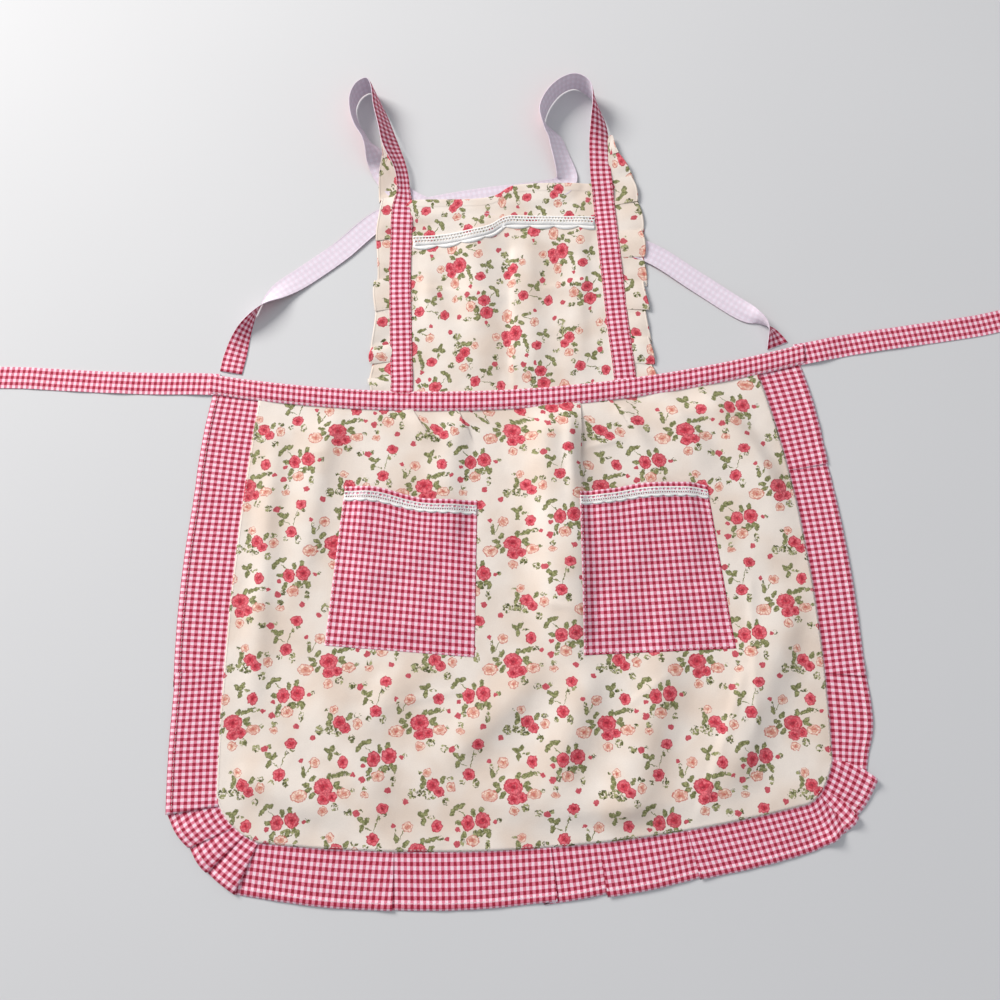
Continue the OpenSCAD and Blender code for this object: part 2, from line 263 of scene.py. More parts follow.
# Sharp pressed creases, low and narrow.
SKIRT_CREASES = [
    ((251, -205), (246, -352), 0.9, 5, 2.2, (0.1, 0.1)),
    ((236, -300), (180, -456), 1.1, 6, 2.4, (0.1, 0.05)),
    ((20, -224), (62, -232), 0.6, 3, 4, (0.2, 0.2)),
    ((-236, -60), (-206, -66), 0.5, 4, 2.5, (0.2, 0.2)),
    ((-120, -330), (-60, -318), 0.6, 4, 2.5, (0.2, 0.2)),
    ((120, -330), (160, -300), 0.6, 3, 3, (0.3, 0.3)),
    ((82, -58), (118, -48), 0.7, 3, 3, (0.2, 0.3)),
]


def skirt_height(x, y):
    """Height of the skirt panel's upper face above what it lies on."""
    z = 1.3 + 0.7 * ripple(x, y, 95, 3) + 0.35 * ripple(x, y, 38, 4)
    for fold in SKIRT_FOLDS + SKIRT_CREASES:
        z = z + 1.4 * ridge(x, y, *fold)
    return np.sqrt(np.maximum(z, 0) ** 2 + 1.0)


def under_straps(x, y):
    """How far the straps that cross behind the bib lift it."""
    lift = 0
    for route in UNDER_BIB:
        line = resampled(smooth([point[:2] for point in route], 6), 60)
        away = np.min(np.hypot(x[..., None] - line[:, 0], y[..., None] - line[:, 1]), axis=-1)
        lift = lift + 1.3 * ease((24 - away) / 14)
    return lift


BIB_FOLDS = [
    ((-2, 182), (-5, 14), -2.0, 3.5, 14, (0.05, 0.1)),
    ((-112, 131), (-10, 121), 1.0, 4, 9, (0.05, 0.1)),
    ((34, 129), (100, 141), 1.0, 4, 9, (0.1, 0.05)),
    ((-42, 205), (-40, 30), 4.5, 22, 20, (0.1, 0.2)),
    ((16, 190), (22, 30), 4.0, 16, 26, (0.15, 0.2)),
    ((-108, 150), (-60, 40), 3, 14, 20, (0.3, 0.3)),
    ((84, 200), (70, 40), 2.5, 16, 18, (0.3, 0.3)),
    ((-90, 222), (-20, 214), 1.6, 8, 10, (0.3, 0.3)),
    ((-100, 180), (-60, 165), 1.6, 8, 10, (0.3, 0.3)),
]


def bib_height(x, y):
    z = 1.4 + 0.5 * ripple(x, y, 70, 11) + 0.25 * ripple(x, y, 28, 12)
    inside = ease(np.minimum(x + 112, 96 - x) / 18)
    for fold in BIB_FOLDS:
        z = z + inside * ridge(x, y, *fold)
    return np.maximum(z, 0.9) + under_straps(x, y)


# ---- meshes


def mesh(name, points, faces, uv, materials, thick=CLOTH):
    """Object from points in millimetres; uv is each point's place on the flat cloth, in millimetres.
    With two materials the second is the cloth's back."""
    data = bpy.data.meshes.new(name)
    data.from_pydata((np.asarray(points).reshape(-1, 3) * MM).tolist(), [], faces)
    layer = data.uv_layers.new(name="cloth")
    index = np.zeros(len(data.loops), int)
    data.loops.foreach_get("vertex_index", index)
    layer.data.foreach_set("uv", (np.asarray(uv).reshape(-1, 2) * MM)[index].astype(np.float32).ravel())
    data.polygons.foreach_set("use_smooth", [True] * len(data.polygons))
    for material in materials:
        data.materials.append(material)
    data.validate()
    data.set_sharp_from_angle(angle=math.radians(55))
    obj = bpy.data.objects.new(name, data)
    bpy.context.scene.collection.objects.link(obj)
    if thick:
        solid = obj.modifiers.new("thickness", "SOLIDIFY")
        solid.thickness, solid.offset = thick * MM, -1
        solid.material_offset = len(materials) - 1
        solid.material_offset_rim = 0
    return obj


def grid_faces(rows, cols):
    at = np.arange(rows * cols).reshape(rows, cols)
    return np.stack([at[:-1, :-1], at[:-1, 1:], at[1:, 1:], at[1:, :-1]], axis=-1).reshape(-1, 4).tolist()


def grid(name, points, uv, materials, flip=False, thick=CLOTH):
    rows, cols = points.shape[:2]
    faces = grid_faces(rows, cols)
    if flip:
        faces = [f[::-1] for f in faces]
    return mesh(name, points, faces, uv, materials, thick)


def lifted(plan, z):
    return np.concatenate([plan, np.asarray(z)[..., None]], axis=-1)


def fixed(obj, slot_name, body, *nodes):
    """obj rides on one body and stands for those CAD nodes."""
    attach(obj, body)
    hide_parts(*nodes)


def bending(obj, slot_name, body, low, high, *nodes):
    """obj's shape is baked where it lies and the CAD nodes it stands for are hidden. body, low and high are
    not used.
    """
    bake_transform(obj)
    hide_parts(*nodes)


def across_fold(obj, slot_name, *nodes):
    """obj's shape is baked where it lies and the CAD nodes it stands for are hidden; places on each side of
    the line that the bib folds at go to bending(), which does not use them.
    """
    side = unit(FOLD_TO - FOLD_FROM)
    normal = np.array((-side[1], side[0]))
    bending(obj, slot_name, "bib", FOLD_FROM - 7 * normal, FOLD_FROM + 15 * normal, *nodes)


# ---- materials


def srgb(*levels):
    """Display colour, 0 to 255, as the linear colour that shaders take."""
    shares = np.array(levels) / 255
    return (*np.where(shares > 0.04045, ((shares + 0.055) / 1.055) ** 2.4, shares / 12.92).tolist(), 1)


class Shader:
    """A material's node tree, with short calls for the nodes that the cloths use."""

    def __init__(self, name):
        self.material = bpy.data.materials.new(name)
        self.material.use_nodes = True
        self.tree = self.material.node_tree
        self.surface = self.tree.nodes["Principled BSDF"]

    def node(self, kind, *inputs, **settings):
        made = self.tree.nodes.new("ShaderNode" + kind)
        for key, value in settings.items():
            setattr(made, key, value)
        for socket, value in inputs:
            self.put(made.inputs[socket], value)
        return made

    def put(self, socket, value):
        if isinstance(value, bpy.types.NodeSocket):
            self.tree.links.new(value, socket)
        else:
            socket.default_value = value

    def math(self, operation, *values):
        return self.node("Math", *enumerate(values), operation=operation).outputs[0]

    def times(self, a, b):
        return self.math("MULTIPLY", a, b)

    def vector(self, operation, *values):
        made = self.node("VectorMath", *enumerate(values), operation=operation)
        return made.outputs["Value" if operation in ("LENGTH", "DOT_PRODUCT") else "Vector"]

    def mix(self, share, a, b, blend="MIX"):
        made = self.node("Mix", ("Factor", share), data_type="RGBA", blend_type=blend)
        self.put(made.inputs[6], a)
        self.put(made.inputs[7], b)
        return made.outputs[2]

    def between(self, value, low, high):
        """0 below low and 1 above high, smooth in between; high below low turns it round."""
        limits = ("Value", value), ("From Min", low), ("From Max", high)
        return self.node("MapRange", *limits, interpolation_type="SMOOTHSTEP").outputs["Result"]

    def cloth_place(self):
        """Place on the flat cloth in millimetres, as a vector."""
        place = self.node("UVMap", uv_map="cloth").outputs["UV"]
        return self.node("VectorMath", (0, place), ("Scale", 1 / MM), operation="SCALE").outputs["Vector"]

    def noise(self, place, size, detail=2.0, output="Fac"):
        made = self.node("TexNoise", ("Vector", place), ("Scale", 1 / size), ("Detail", detail))
        return made.outputs[output]

    def placed(self, place, at, turn, size):
        """place in the own frame of a motif that lies at `at`, turned by `turn` degrees and of that size."""
        frame_of_motif = (("Vector", place), ("Location", (*at, 0)), ("Rotation", (0, 0, math.radians(turn))),
                          ("Scale", (*size, 1)))
        return self.node("Mapping", *frame_of_motif, vector_type="TEXTURE").outputs[0]

    def weave(self, place, colour, rough=0.86, thread=0.42, strength=0.35):
        """Colour, fine threads and small crumples of plain-woven cotton."""
        split = self.node("SeparateXYZ", (0, place))
        warp = self.math("SINE", self.times(split.outputs[0], 2 * math.pi / thread))
        weft = self.math("SINE", self.times(split.outputs[1], 2 * math.pi / thread))
        threads = self.math("MULTIPLY_ADD", warp, weft, self.noise(place, 0.9, 1.0))
        crumple = self.noise(place, 14, 3.0)
        fine = self.node("Bump", ("Height", threads), ("Strength", strength), ("Distance", 0.00008))
        both = self.node("Bump", ("Height", crumple), ("Strength", 0.30), ("Distance", 0.0016),
                         ("Normal", fine.outputs[0]))
        slub = self.between(self.noise(place, 1.3, 2.0), 0.2, 0.8)
        shade = self.mix(0.10, colour, self.mix(slub, (0.55, 0.5, 0.5, 1), (1, 1, 1, 1)), "MULTIPLY")
        roughness = self.math("MULTIPLY_ADD", slub, 0.08, rough - 0.04)
        for name, value in (("Base Color", shade), ("Normal", both.outputs[0]), ("Roughness", roughness),
                            ("Sheen Weight", 0.12), ("Sheen Roughness", 0.5), ("Specular IOR Level", 0.25)):
            self.put(self.surface.inputs[name], value)
        return self.material


# The second cream is darker and warmer, matched to the cloth where it lies in shade: painted soft shade.
CREAM, CREAM_PAINTED_SHADE = srgb(239, 228, 218), srgb(229, 211, 196)
ROSE_DEEP, ROSE_MID, ROSE_LIGHT = srgb(150, 30, 48), srgb(212, 68, 84), srgb(234, 116, 126)
PALE_DEEP, PALE_MID, PALE_LIGHT = srgb(198, 98, 88), srgb(226, 168, 146), srgb(246, 220, 202)
LEAF_DARK, LEAF_MID, LEAF_LIGHT = srgb(82, 85, 48), srgb(129, 131, 84), srgb(165, 164, 116)

# The print repeats at the corners of a lozenge this wide and this high (half of each).
REPEAT_X, REPEAT_Y = 96, 62

# Sprays of the print: where each lies and its motifs. Flowers and sprigs of small leaves are (x, y, half
# width, half height), leaves (x, y, turn) and stems (x, y, half length, turn).
SPRAYS = [
    {"at": (0, 0),
     "roses": [(0, 0, 9.8, 7.9), (0.7, -11.9, 6.6, 5.4), (8.8, -9.9, 5.6, 5.2)],
     "pale": [(-23.8, -8.6, 8.2, 6.0), (21, -6.6, 7.1, 5.0), (0.7, -23.1, 5.0, 4.6), (-10.2, 23.1, 5.6, 5.3)],
     "buds": [(30, 11.9, 2.3, 2.2), (-24.5, 24.4, 2.3, 2.2), (34, -25.7, 3.7, 3.3)],
     "leaves": [(-11.6, 7.6, 50), (-17.4, 1.7, 170), (-15.5, -3.5, 210), (-10.6, -8, 235), (5, 9.6, 70),
                (11.5, 10.5, 20), (17, 12.2, 25), (13.5, 2.6, 40), (15.3, -1.3, -20), (-21, 12.5, 95)],
     "sprigs": [(23, 13.0, 4.8, 2.4), (29.5, -3.3, 2.4, 2.2), (12, -19.5, 4.2, 4.2), (25.5, -25.0, 4.4, 3.6),
                (38.5, -23.5, 2.4, 2.2), (-22, 18.5, 2.0, 3.6)],
     "stems": [(-15.5, 17, 7, 66)]},
    {"at": (-30.6, -32.4),
     "roses": [(0, 0, 7.8, 7.7), (-15, -2.6, 6.6, 7.6)],
     "pale": [(-10.2, -19.1, 6.5, 5.5), (-23, -37, 4.6, 3.2)],
     "buds": [(-25.8, -22.4, 3.5, 3.4), (-25.2, -8.6, 2.5, 2.3), (0, -33, 3.2, 3.0), (12.5, -1.3, 2.4, 2.0)],
     "leaves": [(-26.8, 12.4, 50), (-30.5, 7.9, 60), (-21.8, 13.9, 20), (-9.6, 7.2, 100), (-1.7, 9.6, 80),
                (-24, -2.6, 170), (-4, -12.2, 60), (3.4, -9.9, -50), (6.1, -12.4, 80), (-19, -14.0, 60)],
     "sprigs": [(4.8, -23.4, 2.6, 5.4), (-23, -31.0, 3.2, 3.0), (16, 0, 2.6, 2.4), (-19.7, -20.5, 3, 3.4),
                (-4.5, -12.5, 6.5, 4.0)],
     "stems": [(-20.4, 6.4, 5, -42)]},
    {"at": (14.5, 63.3),
     "roses": [(0, 0, 6.8, 6.4), (6.4, -6.2, 5.6, 5.2)],
     "pale": [(18.4, -2, 4.8, 5.2), (-6.1, 12.2, 4.3, 4.3)],
     "buds": [(-27.2, -15.8, 3.0, 3.0)],
     "leaves": [(9.9, 5.0, 60), (-9.5, 5.3, 110), (-10.2, 0.3, 60)],
     "sprigs": [(-8.6, -7.3, 7.0, 4.6), (-2.5, -11.6, 5.4, 2.8), (-20.4, -8.3, 4.6, 5.2),
                (13.3, -16.4, 3.6, 4.2), (18, 6.2, 3.8, 2.6), (-13, 12, 2.6, 1.6)]},
    {"at": (-45, 11.8),
     "roses": [(0, 0, 6.3, 6.1), (9.5, 29.7, 6.3, 5.3)],
     "leaves": [(-12.4, 18.2, 150), (-7.0, 17.0, 50), (-11.4, 9.9, 70)],
     "sprigs": [(7.2, -8.3, 3.4, 5.0), (-6.8, -7.6, 3.2, 2.6), (6.2, 19.6, 2.0, 2.4), (11.5, 23.4, 2.6, 2.2)],
     "stems": [(3.2, 14.8, 9.5, 76), (-5, 9.4, 4, -25)]},
    {"at": (19.3, 24),
     "roses": [(0, 0, 5.7, 6.2)],
     "leaves": [(-16.4, 11.2, 150), (-11.4, 12.8, 55), (-13.6, 4.8, 75)],
     "sprigs": [(-6.0, 8.4, 4.2, 1.6)]},
]
LEAF_SIZE, STEM_WIDTH = (4.3, 2.5), 0.5  # half sizes
SPRIG_GRAIN = 2.1  # distance between the small leaves of a sprig


def lozenge_place(s, place, at):
    """place in the own frame of the nearest repeat of a spray."""
    right, up = at[0] * 0.5 / REPEAT_X, at[1] * 0.5 / REPEAT_Y
    inside = s.vector("FRACTION", s.vector("SUBTRACT", place, (right + up - 0.5, right - up - 0.5, 0)))
    size = 1 / (REPEAT_X * math.sqrt(2)), -1 / (REPEAT_Y * math.sqrt(2))
    return s.placed(inside, (0.5, 0.5), 45, size)


def rose_print(s, place):
    """Colour of the flowered cloth: scattered sprays of roses, pale roses, buds and leaves."""
    away = s.vector("SUBTRACT", s.noise(place, 3.2, 2.0, "Color"), (0.5, 0.5, 0.5))
    moved = s.vector("ADD", place, s.vector("MULTIPLY", away, (4.6, 4.6, 0)))
    rising, falling = (s.vector("DOT_PRODUCT", moved, (0.5 / REPEAT_X, side * 0.5 / REPEAT_Y, 0))
                       for side in (1, -1))
    lozenge = s.node("CombineXYZ", ("X", rising), ("Y", falling)).outputs[0]
    nearest = dict.fromkeys(("roses", "pale", "buds", "leaves", "sprigs"))

    def add(kind, place_here, at, turn, size):
        far = s.vector("LENGTH", s.placed(place_here, at, turn, size))
        nearest[kind] = far if nearest[kind] is None else s.math("MINIMUM", nearest[kind], far)

    for spray in SPRAYS:
        here = lozenge_place(s, lozenge, spray["at"])
        for kind in ("roses", "pale", "buds", "sprigs"):
            for x, y, rx, ry in spray.get(kind, ()):
                add(kind, here, (x, y), 0, (rx, ry))
        for x, y, turn in spray["leaves"]:
            add("leaves", here, (x, y), turn, LEAF_SIZE)
        for x, y, long, turn in spray.get("stems", ()):
            add("leaves", here, (x, y), turn, (long, STEM_WIDTH))
        # Each spray waits for the one before it, as a material can keep only so many values at a time.
        done = functools.reduce(lambda a, b: s.math("MINIMUM", a, b), nearest.values())
        lozenge = s.vector("MULTIPLY_ADD", done, (0, 0, 0), lozenge)

    petals = s.node("TexVoronoi", ("Vector", moved), ("Scale", 1 / 3.8), feature="DISTANCE_TO_EDGE")
    edges = s.between(petals.outputs[0], 0.16, 0.03)
    dapple = s.noise(place, 2.4, 3.0)
    soft = s.noise(place, 4.0, 1.0)
    # Large random blotches mix in the darker cream: partly the print's uneven ground, partly painted soft
    # shade.
    ground = s.mix(s.between(s.noise(place, 60, 2.0), 0.35, 0.7), CREAM, CREAM_PAINTED_SHADE)

    def flower(far, deep, mid, light, dark_share, rim):
        ring = s.math("PINGPONG", s.math("ADD", s.times(soft, 1.3), s.times(far, 1.15)), 0.5)
        body = s.mix(s.between(ring, 0.10, 0.40), mid, light)
        body = s.mix(s.times(edges, dark_share), body, deep)
        heart = s.times(s.between(far, 0.34, 0.06), 0.9)
        return s.mix(s.math("MAXIMUM", heart, s.times(s.between(far, 0.78, 0.98), rim)), body, deep)

    leaf = s.mix(s.between(dapple, 0.38, 0.60), LEAF_MID, LEAF_LIGHT)
    shade = s.math("MAXIMUM", s.times(edges, 0.6), s.between(nearest["leaves"], 0.75, 1.05))
    leaf = s.mix(shade, leaf, LEAF_DARK)
    small = s.node("TexVoronoi", ("Vector", moved), ("Scale", 1 / SPRIG_GRAIN), feature="F1")
    tone = s.node("SeparateColor", (0, small.outputs["Color"])).outputs[0]
    dots = s.times(s.between(small.outputs["Distance"], 0.74, 0.58), s.between(tone, 0.10, 0.14))
    sprig = s.times(s.between(nearest["sprigs"], 1.02, 0.96), dots)
    colour = s.mix(sprig, ground, s.mix(s.between(tone, 0.2, 0.9), LEAF_DARK, LEAF_LIGHT))
    colour = s.mix(s.between(nearest["leaves"], 1.06, 0.90), colour, leaf)
    colour = s.mix(s.between(nearest["pale"], 1.04, 0.94), colour,
                   flower(nearest["pale"], PALE_DEEP, PALE_MID, PALE_LIGHT, 0.5, 0.9))
    colour = s.mix(s.between(nearest["buds"], 1.08, 0.90), colour, s.mix(dapple, ROSE_DEEP, ROSE_LIGHT))
    return s.mix(s.between(nearest["roses"], 1.04, 0.96), colour,
                 flower(nearest["roses"], ROSE_DEEP, ROSE_MID, ROSE_LIGHT, 0.45, 0.4))


def floral_front():
    s = Shader("floral_cotton")
    place = s.cloth_place()
    return s.weave(place, rose_print(s, place))


def floral_back():
    """The print shows faintly on the back."""
    s = Shader("floral_cotton_back")
    place = s.cloth_place()
    blot = s.between(s.noise(place, 17, 2.0), 0.56, 0.66)
    tint = s.mix(s.noise(place, 30, 1.0), srgb(236, 205, 200), srgb(214, 218, 190))
    return s.weave(place, s.mix(s.times(blot, 0.6), srgb(246, 240, 234), tint))


GINGHAM_DARK, GINGHAM_MID, GINGHAM_LIGHT = srgb(152, 26, 50), srgb(219, 118, 142), srgb(250, 218, 230)
CHECK_ALONG, CHECK_ACROSS = 6.2, 7.2


def gingham(name, faint=0.0):
    """Printed check: pale where neither stripe lies, deeper where one does, deepest where they cross."""
    s = Shader(name)
    place = s.cloth_place()
    wander = s.noise(place, 1.6, 2.0)
    split = s.node("SeparateXYZ", (0, place))

    def stripe(value, period):
        away = s.times(s.math("SUBTRACT", wander, 0.5), 0.14)
        at = s.math("FRACT", s.math("MULTIPLY_ADD", value, 1 / period, away))
        return s.between(s.math("ABSOLUTE", s.math("SUBTRACT", at, 0.5)), 0.285, 0.225)

    one, two = stripe(split.outputs[0], CHECK_ALONG), stripe(split.outputs[1], CHECK_ACROSS)
    grain = s.noise(place, 0.7, 2.0)
    mid = s.mix(s.between(grain, 0.3, 0.7), GINGHAM_MID, srgb(228, 138, 158))
    colour = s.mix(s.math("MAXIMUM", one, two), GINGHAM_LIGHT, mid)
    both = s.times(one, two)
    colour = s.mix(both, colour, s.mix(s.between(grain, 0.25, 0.8), GINGHAM_DARK, srgb(172, 40, 66)))
    if faint:
        colour = s.mix(faint, colour, srgb(232, 226, 238))
    return s.weave(place, colour)


def plain_thread(name, colour, rough=0.8):
    s = Shader(name)
    place = s.cloth_place()
    tint = s.mix(s.noise(place, 2.0, 2.0), colour, tuple(c * 0.86 for c in colour[:3]) + (1,))
    return s.weave(place, tint, rough, 0.3, 0.5)


FLORAL, FLORAL_BACK = floral_front(), floral_back()
CHECK = gingham("gingham_cotton")
CHECK_BACK = gingham("gingham_cotton_back", faint=0.80)
STRAP_BACK = gingham("strap_back", faint=0.86)
LACE = plain_thread("lace_cotton", srgb(250, 248, 246))
THREAD = plain_thread("sewing_thread", srgb(244, 232, 232), 0.7)


# ---- sewing: stitches and lace


STITCH, GAP, THREAD_THICK = 2.7, 1.0, 0.42


def stitches(name, lines):
    """Rows of separate stitches along lines of points on the cloth."""
    rings = [(0, 0.15), (0.12, 0.75), (0.5, 1), (0.88, 0.75), (1, 0.15)]
    corners = [(math.cos(a), math.sin(a)) for a in np.linspace(0, 2 * math.pi, 7)[:-1]]
    points, faces = [], []
    for line in lines:
        run = run_along(line)
        for i in range(max(1, int(run[-1] // (STITCH + GAP)))):
            start = i * (STITCH + GAP)
            a, b = between_points((start, start + STITCH), run, line)
            side, up = (v[0] for v in frame_along(np.array((a, b)))[1:])
            first = len(points)
            for share, size in rings:
                middle = mix(a, b, share) + up * (0.02 + 0.25 * math.sin(math.pi * share))
                points += [middle + (side * c + up * d * 0.8) * size * THREAD_THICK / 2 for c, d in corners]
            for r in range(len(rings) - 1):
                for k in range(6):
                    p, q = first + r * 6 + k, first + r * 6 + (k + 1) % 6
                    faces.append((p, q, q + 6, p + 6))
            faces.append(tuple(range(first + 5, first - 1, -1)))
            faces.append(tuple(range(len(points) - 6, len(points))))
    points = np.array(points)
    return mesh(name, points, faces, points[:, :2], [THREAD], thick=0)


def lace_cells(width, rows, scallop, depth):
    """Flat lace as points (along, across) and faces. rows are (from, to, pitch, shift, half size of a hole),
    and scallop is the length of one bow of the lower edge, which is `depth` deep."""
    points, faces = [], []

    def face(*corners):
        faces.append(tuple(range(len(points), len(points) + 4)))
        points.extend(corners)

    def low_edge(s):
        return rows[-1][1] + 1.2 + depth * abs(math.sin(math.pi * s / scallop)) ** 0.7

    def pierced(s0, s1, d0, d1, hole):
        corners = [(s0, d0), (s1, d0), (s1, d1), (s0, d1), (s0, d0)]
        rim = [(mix(a, c, k / 4), mix(b, d, k / 4))
               for (a, b), (c, d) in zip(corners, corners[1:]) for k in range(4)]
        cx, cy = (s0 + s1) / 2, (d0 + d1) / 2
        first = len(points)
        for x, y in rim:
            angle = math.atan2((y - cy) / (d1 - d0), (x - cx) / (s1 - s0))
            points.extend([(x, y), (cx + hole[0] * math.cos(angle), cy + hole[1] * math.sin(angle))])
        for k in range(len(rim)):
            a, b = first + 2 * k, first + 2 * ((k + 1) % len(rim))
            faces.append((a, b, b + 1, a + 1))

    for d0, d1, pitch, shift, hole in rows:
        count = max(1, round(width / pitch))
        cuts = [min(width, max(0, (k + shift) * width / count)) for k in range(-1, count + 2)]
        cuts = sorted(set(round(c, 4) for c in cuts))
        for s0, s1 in zip(cuts, cuts[1:]):
            if hole and s1 - s0 > 0.8 * pitch:
                pierced(s0, s1, d0, d1, hole)
            else:
                face((s0, d0), (s1, d0), (s1, d1), (s0, d1))
    low, count = rows[-1][1], round(width / 1.4)
    for k in range(count):
        s0, s1 = width * k / count, width * (k + 1) / count
        face((s0, low), (s1, low), (s1, low_edge(s1)), (s0, low_edge(s0)))
    return np.array(points), faces


LACE_THICK = 0.55


def lace(name, width, rows, scallop, depth, place):
    """Lace tape laid by place(along, across), which gives points on the cloth."""
    flat, faces = lace_cells(width, rows, scallop, depth)
    along, across = flat.T
    points = place(along, across)
    knots = np.sin(along * 2 * math.pi / 3.1) * np.sin(across * 2 * math.pi / 2.3)
    points[:, 2] += LACE_THICK + 0.1 + 0.12 * knots
    obj = mesh(name, points, [face[::-1] for face in faces], flat, [LACE], LACE_THICK)
    weld = obj.modifiers.new("weld", "WELD")
    weld.merge_threshold = 0.02 * MM
    obj.modifiers.move(1, 0)
    return obj


# ---- skirt

SEAM_LIFT = 2.0  # the skirt's sewn edge lies on the ruffle's pleats

# Knife pleats pressed into the waist: where each starts and ends, and how deep it is.
WAIST_PLEATS = [
    {"top": (-110, -14), "foot": (-92, -46), "deep": 9},
    {"top": (-60, -13), "foot": (-48, -44), "deep": 8},
    {"top": (76, 2), "foot": (73, -112), "deep": 12},
    {"top": (109, 3), "foot": (122, -26), "deep": 8},
]


def under_band(x0, x1, n, down):
    """Points from x0 to x1 that lie `down` below the waistband's upper edge."""
    x = np.linspace(x0, x1, n)
    return np.stack([x, band_top(x) - down], axis=1)


def coons(top, bottom, left, right, a, b):
    """Patch between four edges; a runs across and b down, both arrays of shares."""
    A, B = np.meshgrid(a, b)
    upper, lower, near, far = by_share(top, A), by_share(bottom, A), by_share(left, B), by_share(right, B)
    A, B = A[..., None], B[..., None]
    corners = mix(mix(top[0], top[-1], A), mix(bottom[0], bottom[-1], A), B)
    return mix(upper, lower, B) + mix(near, far, A) - corners


def make_skirt():
    top = resampled(under_band(-282, 277, 161, BAND_W - 5), 400)
    bottom = resampled(np.concatenate([SEAM_CORNER_LEFT, SEAM_BOTTOM[1:], SEAM_CORNER_RIGHT[1:]]), 400)
    left = resampled(np.concatenate([top[:1], SEAM_LEFT]), 200)
    right = resampled(np.concatenate([top[-1:], SEAM_RIGHT[::-1]]), 200)
    starts = [(pleat["top"][0] - top[0, 0]) / (top[-1, 0] - top[0, 0]) for pleat in WAIST_PLEATS]
    a = np.unique(np.concatenate([np.linspace(0, 1, 190), starts]))
    a = np.array([v for v in a if v in starts or min(abs(v - s) for s in starts) > 0.0022])
    b = np.concatenate([np.linspace(0, 0.24, 50), np.linspace(0.24, 1, 120)[1:]])
    plan = coons(top, bottom, left, right, a, b)
    shift, raise_by = np.zeros(plan.shape[:2]), np.zeros(plan.shape[:2])
    folds = {}
    for pleat, start in zip(WAIST_PLEATS, starts):
        col = int(np.argmin(abs(a - start)))
        (x0, y0), (x1, y1) = pleat["top"], pleat["foot"]
        down = (y0 - plan[:, col, 1]) / (y0 - y1)
        line = x0 + (x1 - x0) * np.clip(down, 0, 1.4)
        reach = 0.35 * abs(y0 - y1) + 12
        near = bump(plan[..., 0] - plan[:, col:col + 1, 0], reach)
        plan[..., 0] += near * ((line - plan[:, col, 0]) * ease(2.2 - down))[:, None]
        folds[col] = mix(pleat["deep"], -1.2, ease(down))
        before = plan[:, col:col + 1, 0] - plan[..., 0]
        rise = np.where(before >= 0, 2.0 * np.exp(-np.maximum(before, 0) / 26), 0)
        raise_by += rise * ease(1.3 - down)[:, None]
        taken_up = 2 * np.maximum(folds[col], 0)[:, None] * np.exp(-np.maximum(-before, 0) / 80)
        shift += np.where(before < -1e-6, taken_up, 0)
    columns, lifts = [], []
    for c in range(len(a)):
        x, y = plan[:, c].T
        # A column is x, y and the place on the flat cloth. A pleat adds one under its fold and one beside it.
        columns.append((x, y, x + shift[:, c], y))
        lifts.append(raise_by[:, c])
        if c in folds:
            deep = folds[c]
            beside = x + mix(0.5, 2.4, ease((12 - deep) / 13))
            flat_x, wide, press = x + shift[:, c], np.abs(deep), ease(deep / 4)
            columns += [(x - deep, y, flat_x + wide, y), (beside, y, flat_x + 2 * wide, y)]
            lifts += [raise_by[:, c] - 1.5 * press, raise_by[:, c] - 2.1 * press]
    columns, lifts = np.moveaxis(np.array(columns), -1, 0), np.stack(lifts, 1)
    plan, uv = columns[..., :2], columns[..., 2:]
    x, y = plan[..., 0], plan[..., 1]
    inner = ease((seam_distance(x, y) - 1) / 32)
    from_waist = band_top(x) - BAND_W - y
    pressed = mix(0.25, 1, ease(from_waist / 34))
    z = mix(SEAM_LIFT + 0.4 * ripple(x, y, 40, 8), 0.9 + (skirt_height(x, y) - 0.9) * pressed, inner)
    z = z + lifts * mix(0.5, 1, ease(from_waist / 14))
    obj = grid("skirt_panel_cloth", lifted(plan, z), uv + (192, 287), [FLORAL, FLORAL_BACK], flip=True)
    fixed(obj, "floral_cotton", "skirt", "skirt_panel", "waist_seam_allowance")


def seam_distance(x, y):
    far = np.full(x.shape, 1e9)
    for px, py in resampled(np.concatenate(SEAMS), 500):
        far = np.minimum(far, np.hypot(x - px, y - py))
    return far


# ---- pleated strips

SMOOTH = -0.2  # one part of a ruffle runs on into the next with hardly a step


